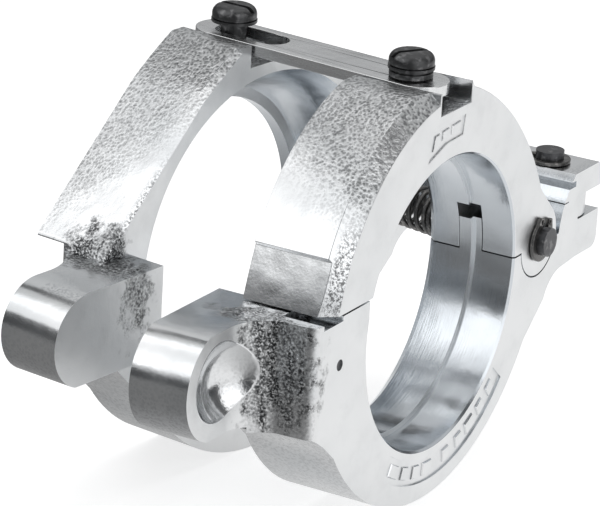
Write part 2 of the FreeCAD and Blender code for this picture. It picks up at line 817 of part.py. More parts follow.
bar = new_body("link_bar")
bar_sketch = body_sketch(bar, "bar_outline")
near_end = 3.0
far_end = -61.0
half = size.bar_half
bar_sketch.addGeometry(Part.LineSegment(Vector(near_end, half, 0), Vector(far_end, half, 0)), False)
bar_sketch.addGeometry(
    Part.Arc(Vector(far_end, half, 0), Vector(far_end - half, 0, 0), Vector(far_end, -half, 0)), False
)
bar_sketch.addGeometry(Part.LineSegment(Vector(far_end, -half, 0), Vector(near_end, -half, 0)), False)
bar_sketch.addGeometry(
    Part.Arc(Vector(near_end, -half, 0), Vector(near_end + half, 0, 0), Vector(near_end, half, 0)), False
)
bind(bar_sketch, "AttachmentOffset.Base.z", "bar_low")
bar_pad = bar.newObject("PartDesign::Pad", "bar_pad")
bar_pad.Profile = bar_sketch
bind(bar_pad, "Length", "bar_thick")
slot_sketch = body_sketch(bar, "bar_openings")
slot_half = size.far_shoulder + 1.15
closed_reach = size.ring_spacing + size.near_screw_x - size.far_screw_x
open_reach = 57.8  # between the two screws at rest
slot_near = -(closed_reach - 2.2)
slot_far = -(open_reach + 0.3)
slot_sketch.addGeometry(Part.LineSegment(Vector(slot_near, slot_half, 0), Vector(slot_far, slot_half, 0)), False)
slot_sketch.addGeometry(
    Part.Arc(Vector(slot_far, slot_half, 0), Vector(slot_far - slot_half, 0, 0), Vector(slot_far, -slot_half, 0)),
    False,
)
slot_sketch.addGeometry(Part.LineSegment(Vector(slot_far, -slot_half, 0), Vector(slot_near, -slot_half, 0)), False)
slot_sketch.addGeometry(
    Part.Arc(Vector(slot_near, -slot_half, 0), Vector(slot_near + slot_half, 0, 0), Vector(slot_near, slot_half, 0)),
    False,
)
add_circle(slot_sketch, "near_shoulder + 0.35")
bind(slot_sketch, "AttachmentOffset.Base.z", "bar_low + bar_thick")
slot_cut = bar.newObject("PartDesign::Pocket", "bar_cuts")
slot_cut.Profile = slot_sketch
bind(slot_cut, "Length", "bar_thick")
bar.Placement = Placement(Vector(size.near_screw_x, 0, 0), Rotation(Vector(0, 0, 1), -size.bar_yaw))
keep(bar, "link_bar")


def make_screw(label, floor, shoulder, tip, centre, slot_turn, place, collar=False):
    """A slotted shoulder screw: thread, shoulder standing on the channel's floor, washer, domed head."""
    body = new_body(label)
    pad_disc(body, label + "_thread", "thread_radius", tip, floor + " + 0.05 - ( " + tip + " )")
    pad_disc(body, label + "_shoulder", shoulder, floor + " + 0.05", "washer_low - 0.05 - " + floor)
    if collar:
        pad_disc(body, label + "_collar", "collar_radius", "collar_low", "1.3")
        pad_disc(body, label + "_groove", "collar_radius - 0.8", "collar_low + 1.3", "washer_low - collar_low - 1.3")
    pad_disc(body, label + "_washer", "washer_radius", "washer_low", "washer_thick")
    pad_disc(body, label + "_neck", "head_radius - 0.8", "washer_low + washer_thick", "0.4")
    head = pad_disc(body, label + "_head", "head_radius", "head_low", "head_height")
    doc.recompute()
    top = size.head_low + size.head_height
    rim = [
        "Edge%d" % (i + 1)
        for i, e in enumerate(head.Shape.Edges)
        if len(e.Vertexes) == 1 and abs(e.BoundBox.ZMin - top) < 1e-4 and abs(e.BoundBox.ZMax - top) < 1e-4
    ]
    dome = body.newObject("PartDesign::Fillet", label + "_dome")
    dome.Base = (head, rim)
    dome.Radius = 2.4
    groove_sketch = body_sketch(body, label + "_slot_sketch")
    wide, long = 0.75, 8.0
    corners = [(-long, -wide), (long, -wide), (long, wide), (-long, wide)]
    for a, b in zip(corners, corners[1:] + corners[:1]):
        groove_sketch.addGeometry(Part.LineSegment(Vector(*a, 0), Vector(*b, 0)), False)
    bind(groove_sketch, "AttachmentOffset.Base.z", "head_low + head_height + 0.5")
    groove = body.newObject("PartDesign::Pocket", label + "_slot")
    groove.Profile = groove_sketch
    groove.Length = 2.0
    body.Placement = Placement(Vector(*centre, 0), Rotation(Vector(0, 0, 1), slot_turn))
    return keep(body, label, place)


NEAR_SCREW = (size.near_screw_x, 0)
FAR_SCREW = (size.far_screw_x, size.far_screw_y)
make_screw("near_link_screw", "near_floor", "near_shoulder", "near_floor - 9", NEAR_SCREW, 58, NEAR_PLACE, True)
make_screw("far_link_screw", "far_floor", "far_shoulder", "far_floor - 4.2", FAR_SCREW, 4, FAR_PLACE)

# ---------------------------------------------------------------- return spring between the rings

spring_start = Vector(-size.half_width - 2.0, size.jaw_pin_y, size.jaw_pin_z)
spring_end = FAR_PLACE.multVec(Vector(size.far_face + 2.0, size.jaw_pin_y, size.jaw_pin_z))
spring_axis = spring_end - spring_start
near_play = 1.8  # the open V skews the spring most at its near end
far_play = 1.0
spring_length = spring_axis.Length - near_play - far_play
direction = Vector(spring_axis).normalize()
foot = spring_start + direction * near_play
print("return spring length between the pin heads", round(spring_axis.Length, 2))
spring = doc.addObject("Part::Feature", "return_spring")
coil = Part.makeCylinder(size.spring_radius, spring_length)
hollow = Part.makeCylinder(size.spring_radius - size.spring_wire, spring_length + 2, Vector(0, 0, -1))
spring.Shape = coil.cut(hollow)
spring.Placement = Placement(foot, Rotation(Vector(0, 0, 1), direction))
keep(spring, "return_spring")

# ---------------------------------------------------------------- latch in each ring's front joint


def make_latch(prefix, tip_z, up, x, y, pin_z, pin_low, pin_high, place):
    """A spring-loaded plunger, its coil spring and the cross pin that keeps it in.

    tip_z is the parting face that the plunger's round nose stands out of, and up says which way.
    """
    nose = 1.7
    length = 18.0
    body = new_body(prefix + "_latch_plunger")
    pad_disc(body, prefix + "_plunger_rod", "latch_radius - 0.06", "-18", "18.2")
    rod_pad = pad_disc(body, prefix + "_plunger_nose", "latch_radius - 0.9", "0.1", "1.5")
    slot_sketch_ = body_sketch(body, prefix + "_plunger_slot", "YZ_Plane")
    low, high, wide = abs(tip_z - pin_z) * -1 - 1.7, abs(tip_z - pin_z) * -1 + 4.2, 1.7
    corners = [(-wide, low), (wide, low), (wide, high), (-wide, high)]
    for a, b in zip(corners, corners[1:] + corners[:1]):
        slot_sketch_.addGeometry(Part.LineSegment(Vector(*a, 0), Vector(*b, 0)), False)
    window = body.newObject("PartDesign::Pocket", prefix + "_plunger_window")
    window.Profile = slot_sketch_
    window.Midplane = True
    window.Length = 10.0
    flip = Rotation() if up else Rotation(Vector(1, 0, 0), 180)
    body.Placement = Placement(Vector(x, y, tip_z), flip)
    keep(body, prefix + "_latch_plunger", place)
    spring_ = doc.addObject("Part::Feature", prefix + "_latch_spring")
    gap = 0.1
    long = 29.5 - length - 2 * gap if up else 29.3 - length - 2 * gap
    tube = Part.makeCylinder(2.5, long).cut(Part.makeCylinder(1.8, long + 2, Vector(0, 0, -1)))
    spring_.Shape = tube
    start = tip_z - length - gap - long if up else tip_z + length + gap
    spring_.Placement = Placement(Vector(x, y, start), Rotation())
    keep(spring_, prefix + "_latch_spring", place)
    pin = new_body(prefix + "_latch_pin")
    pad_disc(pin, prefix + "_latch_pin_rod", "latch_pin_radius", pin_low, pin_high)
    pin.Placement = Placement(Vector(0, y, pin_z), ALONG_X)
    keep(pin, prefix + "_latch_pin", place)
    return rod_pad


make_latch("near", size.front_parting, True, 0, size.latch_y, -0.6, "-10", "22.6", NEAR_PLACE)
make_latch("far", far_foot, False, -2, size.latch_y + 3, 0.8, "-12.6", "22.6", FAR_PLACE)

# ---------------------------------------------------------------- check and write

doc.recompute()
faults = []
for thing in doc.Objects:
    if "Invalid" in thing.State or "Error" in thing.State:
        faults.append(thing.Name + " " + str(thing.State))
for node in nodes:
    shape = node.Shape
    if shape.isNull() or not shape.isValid():
        faults.append(node.Label + " has no valid shape")
        continue
    box_ = shape.BoundBox
    print(
        "%-22s solids %d volume %9.1f  x %7.1f %7.1f  y %7.1f %7.1f  z %6.1f %6.1f"
        % (
            node.Label,
            len(shape.Solids),
            shape.Volume,
            box_.XMin,
            box_.XMax,
            box_.YMin,
            box_.YMax,
            box_.ZMin,
            box_.ZMax,
        )
    )
if faults:
    raise RuntimeError("; ".join(faults))

os.makedirs("parts", exist_ok=True)
for node in nodes:
    node.Shape.exportStep("parts/" + node.Label + ".step")
print(len(nodes), "sub-parts written")
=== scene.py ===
# %% [markdown]
# A pressing collar: two forged steel rings that hinge together at the back and open in a V.  The exact
# shapes come from the CAD model, so this file is about what Blender adds to them: soft edges, real
# coils for the springs, the finish of every metal, and a studio to see them in.
#
# It loads the CAD model and reads its joints from the record.

# %% Load the frame
import json
import math
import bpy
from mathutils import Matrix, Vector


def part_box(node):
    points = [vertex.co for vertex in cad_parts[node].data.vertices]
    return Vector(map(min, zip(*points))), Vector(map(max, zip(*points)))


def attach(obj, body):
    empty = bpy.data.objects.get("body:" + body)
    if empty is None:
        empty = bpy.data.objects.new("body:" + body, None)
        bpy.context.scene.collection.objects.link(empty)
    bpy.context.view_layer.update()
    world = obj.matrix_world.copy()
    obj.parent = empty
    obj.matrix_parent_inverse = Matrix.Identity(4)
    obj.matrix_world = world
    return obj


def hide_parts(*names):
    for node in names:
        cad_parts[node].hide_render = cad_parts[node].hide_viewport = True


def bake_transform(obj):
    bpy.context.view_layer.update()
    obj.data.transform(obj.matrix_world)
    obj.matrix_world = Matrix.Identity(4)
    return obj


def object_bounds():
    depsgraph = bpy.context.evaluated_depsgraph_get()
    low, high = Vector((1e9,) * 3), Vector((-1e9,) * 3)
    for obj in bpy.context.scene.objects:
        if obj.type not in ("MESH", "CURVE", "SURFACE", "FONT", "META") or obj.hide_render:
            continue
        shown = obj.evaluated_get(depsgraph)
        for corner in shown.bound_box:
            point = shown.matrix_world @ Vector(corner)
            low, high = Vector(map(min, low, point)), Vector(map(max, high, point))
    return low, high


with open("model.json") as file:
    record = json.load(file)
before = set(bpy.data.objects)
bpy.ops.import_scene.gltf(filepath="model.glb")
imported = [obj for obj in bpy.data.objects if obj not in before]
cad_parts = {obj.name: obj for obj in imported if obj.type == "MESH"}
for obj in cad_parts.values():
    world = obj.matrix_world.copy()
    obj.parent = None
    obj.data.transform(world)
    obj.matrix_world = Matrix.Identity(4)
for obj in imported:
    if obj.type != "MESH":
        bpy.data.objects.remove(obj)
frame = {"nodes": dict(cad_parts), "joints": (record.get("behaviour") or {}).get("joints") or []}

from types import SimpleNamespace

import bmesh
import bpy
from mathutils import Matrix, Vector

cad_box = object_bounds()
print("CAD box", [[round(v, 4) for v in corner] for corner in cad_box])

# %% [markdown]
# Where things are.  The upper jaws' joints in the record sit at the centres of the real pins, so both
# pins are read from there instead of being measured again.  The far ring's centre and its turn follow
# from its pin, because both rings carry their pin at the same place.

# %% Hinge points and the two rings
joints = {j["name"]: j for j in frame["joints"]}
NEAR_PIN = Vector(joints["upper_jaws_open"]["pos_m"])
FAR_PIN = Vector(joints["far_upper_open"]["pos_m"])
ALONG_FAR = -Vector(joints["far_upper_open"]["axis"]).normalized()
OPEN_V = math.atan2(ALONG_FAR.y, ALONG_FAR.x)
ACROSS_FAR = Vector((-ALONG_FAR.y, ALONG_FAR.x, 0))
NEAR_RING = Vector((0, 0, 0))
FAR_RING = FAR_PIN - ACROSS_FAR * NEAR_PIN.y - Vector((0, 0, NEAR_PIN.z))
print("the far ring is turned by", round(math.degrees(OPEN_V), 2), "degrees about", FAR_RING)

# %% [markdown]
# The camera.  A product shot of a small tool uses a long lens from about a metre away: it flattens
# perspective, so both rings keep their size.  The camera's three axes are built by hand from azimuth,
# elevation and roll, because a roll is awkward to type as Euler angles.


# %% Camera axes
def add_to_scene(name, data):
    """A new object that shows this mesh, lamp or camera."""
    thing = bpy.data.objects.new(name, data)
    bpy.context.scene.collection.objects.link(thing)
    return thing


AZIMUTH = math.radians(29.56)
ELEVATION = math.radians(19.755)
ROLL = math.radians(3.265)
back = Vector(
    (
        math.sin(AZIMUTH) * math.cos(ELEVATION),
        -math.cos(AZIMUTH) * math.cos(ELEVATION),
        math.sin(ELEVATION),
    )
)
right = (-back).cross(Vector((0, 0, 1))).normalized()
up = right.cross(-back)
rolled_right = right * math.cos(ROLL) + up * math.sin(ROLL)
rolled_up = up * math.cos(ROLL) - right * math.sin(ROLL)
print("the camera looks along", [round(-v, 3) for v in back])

# %% Camera
DISTANCE = 1.0
AIM = Vector((-0.02419, -0.01181, 0.00886))
SENSOR_MM = 36
LENS_MM = 227.94
camera = add_to_scene("camera", bpy.data.cameras.new("camera"))
camera.data.sensor_width = SENSOR_MM
camera.data.lens = LENS_MM
camera.data.clip_start = 0.01
placed = Matrix((rolled_right, rolled_up, back)).transposed().to_4x4()
placed.translation = AIM + back * DISTANCE
camera.matrix_world = placed
bpy.context.scene.camera = camera
bpy.context.scene.view_settings.view_transform = "Standard"
print("camera at", [round(v, 3) for v in camera.location])

# %% [markdown]
# Every finish below is a tree of shader nodes: one node reads a position, the next turns it into noise,
# another mixes two colours.  They could be placed and joined by hand in the shader editor.  In Python
# each of them takes several lines, so a small kit adds and joins them, and what is left reads like the
# recipe of the finish.  Its first half does sums, on numbers and on vectors.


# %% Node kit: adding, joining and sums
class Wiring:
    """Adds shader nodes to a tree and joins them up."""

    def __init__(self, tree):
        self.tree = tree

    def node(self, kind, **settings):
        new = self.tree.nodes.new(kind)
        for key, value in settings.items():
            setattr(new, key, value)
        return new

    def join(self, source, target):
        """Link an output to a socket, or set the socket if source is a plain value."""
        if hasattr(source, "is_output"):
            self.tree.links.new(source, target)
        else:
            target.default_value = source

    def calc(self, operation, *terms, clamp=False):
        new = self.node("ShaderNodeMath", operation=operation, use_clamp=clamp)
        for term, socket in zip(terms, new.inputs):
            self.join(term, socket)
        return new.outputs[0]

    def vector(self, operation, *terms):
        new = self.node("ShaderNodeVectorMath", operation=operation)
        for term, socket in zip(terms, new.inputs):
            self.join(term, socket)
        return new.outputs["Value" if operation in ("DOT_PRODUCT", "LENGTH") else "Vector"]

    def split(self, vector):
        new = self.node("ShaderNodeSeparateXYZ")
        self.join(vector, new.inputs[0])
        return new.outputs


print("the kit does sums")

# %% [markdown]
# A fade is a soft step between two values, and makes a mask out of a height or a distance. Noise gives
# clouds, lumps and, when it is stretched, brush marks. Smooth cells give the pits of a casting. A bump
# turns any of them into relief without moving the mesh, which suits grain that is far smaller than the
# piece.


# %% Node kit: soft steps, mixtures and textures
class Recipe(Wiring):
    """Wiring that also makes masks, colours, textures and relief."""

    def fade(self, value, low, high, start=0.0, end=1.0):
        """A smooth step: start up to low, end from high."""
        new = self.node("ShaderNodeMapRange", interpolation_type="SMOOTHSTEP")
        terms = {"Value": value, "From Min": low, "From Max": high, "To Min": start, "To Max": end}
        for key, term in terms.items():
            self.join(term, new.inputs[key])
        return new.outputs[0]

    def blend(self, amount, first, second):
        """A colour between first and second."""
        new = self.node("ShaderNodeMix", data_type="RGBA")
        for key, term in (("Factor", amount), ("A", first), ("B", second)):
            socket = [s for s in new.inputs if s.name == key and s.enabled][0]
            self.join(term, socket)
        return [s for s in new.outputs if s.enabled][0]

    def noise(self, vector, scale, detail=3.0, rough=0.5):
        new = self.node("ShaderNodeTexNoise")
        self.join(vector, new.inputs["Vector"])
        new.inputs["Scale"].default_value = scale
        new.inputs["Detail"].default_value = detail
        new.inputs["Roughness"].default_value = rough
        return new.outputs[0]

    def cells(self, vector, scale, smooth=0.6):
        new = self.node("ShaderNodeTexVoronoi", feature="SMOOTH_F1")
        self.join(vector, new.inputs["Vector"])
        new.inputs["Scale"].default_value = scale
        new.inputs["Smoothness"].default_value = smooth
        return new.outputs["Distance"]

    def stretch(self, vector, scale):
        new = self.node("ShaderNodeMapping")
        self.join(vector, new.inputs["Vector"])
        new.inputs["Scale"].default_value = scale
        return new.outputs[0]

    def bump(self, height, depth, strength=1.0, under=None):
        """Relief of this depth in metres, on top of the relief under it."""
        new = self.node("ShaderNodeBump")
        self.join(height, new.inputs["Height"])
        new.inputs["Distance"].default_value = depth
        self.join(strength, new.inputs["Strength"])
        if under is not None:
            self.join(under, new.inputs["Normal"])
        return new.outputs[0]


print("the kit makes masks, colours, textures and relief")

# %% [markdown]
# The studio.  Bright plated steel shows almost nothing of its own: it shows the room.  A room that is
# white all over makes it look like plaster.  So the world is grey, brighter towards the top, with dark
# bands across it that do what black cards do beside a shiny object: they draw its edges.  A picture of
# a real studio could be used instead, but bands can be put where they are needed.  The borders wobble a
# little, or the reflections would look ruled.  Only reflections see all this.  The camera sees white.

# %% The sky's directions
world = bpy.data.worlds.new("studio")
bpy.context.scene.world = world
world.use_nodes = True
world.node_tree.nodes.clear()
sky = Recipe(world.node_tree)
look = sky.node("ShaderNodeTexCoord").outputs["Generated"]
sky_x, sky_y, sky_z = sky.split(look)
turn = sky.calc("ARCTAN2", sky_y, sky_x)
wobble = sky.calc("MULTIPLY", sky.calc("SUBTRACT", sky.noise(look, 1.6), 0.5), 0.5)
print("the sky knows its height and its turn")


# %% Dark bands
def band(value, middle, half, soft):
    """1 inside a band of the sky, 0 outside, with a soft edge."""
    away = sky.calc("ABSOLUTE", sky.calc("SUBTRACT", sky.calc("ADD", value, wobble), middle))
    return sky.fade(away, half - soft, half + soft, 1.0, 0.0)


# turn and half width of each upright band, in radians
UPRIGHT_BANDS = ((-2.45, 0.16), (-1.05, 0.20), (0.35, 0.22), (2.75, 0.16))
UPRIGHT_SOFT = 0.07
dark = sky.calc("MULTIPLY", band(sky_z, 0.10, 0.13, 0.05), 0.9)
for middle, half in UPRIGHT_BANDS:
    dark = sky.calc("MAXIMUM", dark, sky.calc("MULTIPLY", band(turn, middle, half, UPRIGHT_SOFT), 0.85))
print("one level band and", len(UPRIGHT_BANDS), "upright ones")

# %% World
CARD_BLACK = (0.02, 0.021, 0.023, 1)
LOW_WALL = (0.42, 0.43, 0.44, 1)
HIGH_WALL = (0.70, 0.70, 0.70, 1)
WHITE = (1, 1, 1, 1)
lit = sky.blend(sky.fade(sky_z, -0.2, 0.9), LOW_WALL, HIGH_WALL)
room = sky.blend(dark, lit, CARD_BLACK)
path = sky.node("ShaderNodeLightPath")
seen = sky.blend(path.outputs["Is Camera Ray"], room, WHITE)
background = sky.node("ShaderNodeBackground")
sky.join(seen, background.inputs["Color"])
background.inputs["Strength"].default_value = 1.0
sky.join(background.outputs[0], sky.node("ShaderNodeOutputWorld").inputs["Surface"])
print("world has", len(world.node_tree.nodes), "nodes")

# %% [markdown]
# The floor is a sheet under the lowest point of the collar, large enough to fill every view.  The
# camera sees pale matt paint with a little light of its own, so that the floor stays white and still
# takes the shadow.  Everything else sees a card that is grey at the front and brightens towards the
# back right.  A plain white floor would be simpler, but every face that looks down would mirror it and
# turn chalky.

# %% Floor sheet
lowest = cad_box[0][2]
reach = 2.5
sheet = bpy.data.meshes.new("floor")
sheet.from_pydata(
    [(-reach, -reach, lowest), (reach, -reach, lowest), (reach, reach, lowest), (-reach, reach, lowest)],
    [],
    [(0, 1, 2, 3)],
)
floor = add_to_scene("floor", sheet)
print("floor at z", round(lowest, 4))

# %% What the camera sees of the floor
PAINT = (0.85, 0.85, 0.85, 1)
OWN_LIGHT = 0.55
paint = bpy.data.materials.new("pale_floor")
paint.use_nodes = True
paint.node_tree.nodes.clear()
floor_mix = Recipe(paint.node_tree)
matt = floor_mix.node("ShaderNodeBsdfDiffuse")
matt.inputs["Color"].default_value = PAINT
glow = floor_mix.node("ShaderNodeEmission")
glow.inputs["Color"].default_value = WHITE
glow.inputs["Strength"].default_value = OWN_LIGHT
white_paint = floor_mix.node("ShaderNodeAddShader")
floor_mix.join(matt.outputs[0], white_paint.inputs[0])
floor_mix.join(glow.outputs[0], white_paint.inputs[1])
print("matt paint with", OWN_LIGHT, "of its own light")

# %% What reflections see of the floor
FRONT_GREY = 0.20
BACK_BRIGHT = 0.95
card = floor_mix.node("ShaderNodeEmission")
floor_x, floor_y, _ = floor_mix.split(floor_mix.node("ShaderNodeTexCoord").outputs["Object"])
back_right = floor_mix.calc("ADD", floor_x, floor_y)
floor_mix.join(floor_mix.fade(back_right, -0.20, 0.07, FRONT_GREY, BACK_BRIGHT), card.inputs["Strength"])
choose = floor_mix.node("ShaderNodeMixShader")
floor_mix.join(floor_mix.node("ShaderNodeLightPath").outputs["Is Camera Ray"], choose.inputs[0])
floor_mix.join(card.outputs[0], choose.inputs[1])
floor_mix.join(white_paint.outputs[0], choose.inputs[2])
floor_mix.join(choose.outputs[0], floor_mix.node("ShaderNodeOutputMaterial").inputs["Surface"])
sheet.materials.append(paint)
print("a card from", FRONT_GREY, "to", BACK_BRIGHT)

# %% [markdown]
# The lights.  Three big soft lights do the rest: a key from the upper left, a fill from the right and a
# broad one overhead.  Small lamps would do for a matt object, but on curved steel each would show as a
# hard white dot.  Big ones give soft shadows and wide highlights.


# %% Lights
def softbox(name, place, aim, wide, watts):
    """A square area light, pointed at a spot."""
    lamp = bpy.data.lights.new(name, "AREA")
    lamp.energy = watts
    lamp.size = wide
    thing = add_to_scene(name, lamp)
    thing.location = place
    thing.rotation_euler = (Vector(aim) - Vector(place)).to_track_quat("-Z", "Y").to_euler()
    return thing


MIDDLE = (-0.03, 0.0, 0.0)
softbox("key", (-0.45, -0.55, 0.65), MIDDLE, 0.8, 1.9)
softbox("fill", (0.75, -0.30, 0.35), MIDDLE, 0.8, 1.7)
softbox("overhead", (-0.05, 0.15, 0.9), MIDDLE, 0.7, 0.9)
print("three soft lights")

# %% [markdown]
# Forged and zinc plated steel.  One finish covers four jaws, but it isn't the same all over: the
# ground sides are satin, the bore is brushed, the outer skin keeps the grain of the forging die, and
# the neck of each lug is rough and dark.  Each zone could be painted by hand on an unwrapped mesh.
# Here it is found from the shape itself: how far a point is from the ring's axis, and which way its
# surface faces.  That way the zones sit right on every jaw and move with it.
#
# Both are needed in the ring's own axes, and the far ring stands at an angle, so the first step turns
# positions and directions back by that angle.


# %% Metal, and the view from a ring
def metal(name, metallic):
    """A new metal: the material, its recipe and its shader."""
    material = bpy.data.materials.new(name)
    material.use_nodes = True
    shader = material.node_tree.nodes["Principled BSDF"]
    shader.inputs["Metallic"].default_value = metallic
    return material, Recipe(material.node_tree), shader


def ring_view(mix, centre):
    """Where a point is and which way its surface faces, in the axes of the ring at centre."""
    coords = mix.node("ShaderNodeTexCoord")
    yaw = 0.0 if centre is NEAR_RING else OPEN_V

    def local(vector, origin):
        turned = mix.node("ShaderNodeMapping", vector_type="TEXTURE")
        mix.join(vector, turned.inputs["Vector"])
        turned.inputs["Location"].default_value = origin
        turned.inputs["Rotation"].default_value = (0, 0, yaw)
        return turned.outputs[0]

    return local(coords.outputs["Object"], centre), local(coords.outputs["Normal"], (0, 0, 0))


print("positions are read in each ring's own axes")

# %% [markdown]
# The smooth zones.  A side face looks along the ring's axis, the skin looks away from the axis, and the
# bore looks at it, so two dot products tell them apart.  The seat in a lug was pressed by a ball: its
# polished print is every point that lies on that ball, which no direction could single out.


# %% Sides, skin, bore and ball seat
SEAT_RADIUS = 0.0135  # the ball that pressed the seat into a lug
ON_BALL = 0.0001
OFF_BALL = 0.0003


def smooth_zones(mix, place, facing, seat):
    """Masks for the seat's polish, the ground sides, the outer skin and the bore."""
    zone = SimpleNamespace()
    flat = mix.vector("MULTIPLY", place, (0, 1, 1))
    outward = mix.vector("DOT_PRODUCT", mix.vector("NORMALIZE", flat), facing)
    from_seat = mix.vector("LENGTH", mix.vector("SUBTRACT", place, seat))
    off_ball = mix.calc("ABSOLUTE", mix.calc("SUBTRACT", from_seat, SEAT_RADIUS))
    zone.polish = mix.fade(off_ball, OFF_BALL, ON_BALL)
    zone.unpolished = mix.calc("SUBTRACT", 1.0, zone.polish)
    sideways = mix.calc("ABSOLUTE", mix.split(facing)[0])
    zone.side = mix.calc("MULTIPLY", mix.fade(sideways, 0.80, 0.95), zone.unpolished)
    not_side = mix.calc("SUBTRACT", 1.0, zone.side)
    zone.skin = mix.calc("MULTIPLY", mix.fade(outward, 0.10, 0.45), not_side)
    zone.bore = mix.fade(outward, -0.35, -0.6)
    return zone


print("smooth zones: seat, sides, skin and bore")

# %% [markdown]
# The rough zones.  Grinding took the grain off wherever the wheel reached and left it on the upper
# skin, in patches.  Its border leans towards one side face.  The wheel also missed the neck behind each
# lug and a narrow line of dark flecks beside the ground face.  A border that follows a plain distance
# looks drawn with compasses, so noise is added to each distance before it fades.


# %% Cast grain, rough neck and flecks
NECK_SHAPE = (0.8, 1.35, 0.6)  # the patch is tall and wide, and short along the lug


def rough_zones(mix, place, zone, grain_low, grain_high, lean, neck):
    """Add masks for the cast grain, the lug's neck and the line of flecks."""
    x, _, z = mix.split(place)
    height = mix.fade(mix.calc("ADD", z, mix.calc("MULTIPLY", x, lean)), grain_low, grain_high)
    patch = mix.fade(mix.noise(place, 60, 2), 0.40, 0.62)
    patchy = mix.calc("ADD", mix.calc("MULTIPLY", patch, 0.45), 0.55)
    zone.cast = mix.calc("MULTIPLY", zone.skin, mix.calc("MULTIPLY", height, patchy))
    fleck_masks = (
        mix.fade(x, 0.0088, 0.0105),
        mix.fade(mix.noise(place, 1500, 3, 0.7), 0.56, 0.42),
        mix.fade(z, 0.040, 0.026),
        mix.fade(z, 0.010, 0.016),
    )
    zone.flecks = zone.skin
    for mask in fleck_masks:
        zone.flecks = mix.calc("MULTIPLY", zone.flecks, mask)
    from_neck = mix.vector("MULTIPLY", mix.vector("SUBTRACT", place, neck), NECK_SHAPE)
    wavy = mix.fade(mix.noise(place, 260, 3), 0.3, 0.7, -0.003, 0.003)
    ragged = mix.calc("ADD", mix.vector("LENGTH", from_neck), wavy)
    not_bore = mix.calc("SUBTRACT", 1.0, zone.bore)
    zone.neck = mix.calc("MULTIPLY", mix.fade(ragged, 0.014, 0.008), not_bore)
    zone.neck = mix.calc("MULTIPLY", zone.neck, zone.unpolished)
    below = mix.fade(z, 0.010, -0.012)
    low_skin = mix.calc("MULTIPLY", zone.skin, mix.calc("MULTIPLY", below, 0.25))
    zone.grain = mix.calc("MAXIMUM", zone.cast, mix.calc("MAXIMUM", zone.neck, low_skin), clamp=True)


print("rough zones: cast grain, neck and flecks")

# %% [markdown]
# Relief.  Five layers lie on each other, from coarse to fine: a slow ripple left by forging, shallow
# dents from grinding, the leathery grain of the die, brush marks round the bore, and a faint sparkle
# of plating.  Modelling them would take millions of faces, so they are bumps, each with its own depth
# in metres, and each zone sets how much of a layer shows.


# %% Relief of a ring
def ring_relief(mix, place, zone):
    """The surface's relief, and the leathery height that colours its pits."""
    pits = mix.cells(place, 1150)
    leather = mix.calc("ADD", mix.calc("MULTIPLY", pits, 0.7), mix.noise(place, 900, 4, 0.6))
    brushed = mix.noise(mix.stretch(place, (2600, 60, 60)), 1.0, 3)
    normal = mix.bump(mix.noise(place, 55, 2), 0.0012, 0.35)
    normal = mix.bump(mix.noise(place, 240, 3), 0.00012, mix.fade(zone.side, 0.0, 1.0, 0.35, 0.8), normal)
    normal = mix.bump(leather, 0.00026, zone.grain, normal)
    normal = mix.bump(brushed, 0.00002, zone.bore, normal)
    normal = mix.bump(mix.noise(place, 1500, 2), 0.00002, 0.5, normal)
    return normal, leather


print("relief in five layers")

# %% [markdown]
# Colour.  A metal's colour is the tint of its reflections.  Fresh zinc is nearly white, old zinc is
# greyer, and the bore is painted bluer, a painted reflection of the bore mirroring itself.  In the pits
# of the grain the plating stayed dull and dark, and the neck of each lug is coloured near black.  One
# picture of the whole surface would be hard to fit to four jaws, so the colour is built in layers
# instead, each blended over the last by its zone.

# %% Colours of a ring
FRESH_ZINC = (0.80, 0.81, 0.82, 1)
STAINED_ZINC = (0.70, 0.72, 0.735, 1)
# painted reflection: a bluer tint that stands for the bore mirroring itself
PAINTED_BORE_REFLECTION = (0.58, 0.63, 0.68, 1)
GROUND_ZINC = (0.86, 0.87, 0.875, 1)
SCUFFED_ZINC = (0.62, 0.63, 0.64, 1)
CAST_ZINC = (0.52, 0.53, 0.535, 1)
PIT_GREY = (0.12, 0.125, 0.13, 1)
FLECK_BLACK = (0.06, 0.061, 0.063, 1)
# a near-black colour for a patch round the neck of each lug
NECK_BLACK = (0.04, 0.041, 0.043, 1)


def ring_colour(mix, place, zone, leather):
    """Bright zinc with a painted bluer reflection in the bore, darker in the pits of the grain and at the
    neck.
    """
    stain = mix.fade(mix.noise(place, 34, 3), 0.35, 0.7)
    scuff = mix.calc("MULTIPLY", zone.side, mix.fade(mix.noise(place, 130, 5, 0.65), 0.45, 0.75))
    hollow = mix.calc("MULTIPLY", zone.grain, mix.fade(leather, 0.95, 0.62))
    # the neck of each lug is darkened towards near black, in streaks
    neck_dark = mix.calc("MULTIPLY", zone.neck, mix.fade(mix.noise(place, 1700, 3, 0.7), 0.60, 0.44))
    streak = mix.fade(mix.noise(mix.stretch(place, (420, 60, 60)), 1.0, 2), 0.35, 0.6, 0.35, 1.0)
    colour = mix.blend(stain, FRESH_ZINC, STAINED_ZINC)
    layers = (
        # painted reflection: the bore is tinted bluer for the bore mirroring itself
        (zone.bore, 0.6, PAINTED_BORE_REFLECTION),
        (zone.side, 0.7, GROUND_ZINC),
        (scuff, 0.22, SCUFFED_ZINC),
        (zone.cast, 0.50, CAST_ZINC),
        (hollow, 0.75, PIT_GREY),
        (zone.flecks, 0.85, FLECK_BLACK),
        (neck_dark, streak, NECK_BLACK),
    )
    for mask, strength, tint in layers:
        colour = mix.blend(mix.calc("MULTIPLY", mask, strength), colour, tint)
    return colour


print("nine colours of zinc and soot")

# %% [markdown]
# Roughness, and the whole finish.  Roughness says how blurred a reflection is: the ball seat is the
# shiniest place, the skin comes next, then the ground sides, and the grain adds some more.  Worn spots
# vary all of them.  The same recipe then makes one material for each jaw, with its own heights for the
# border of the grain and its own places for the neck and the seat.


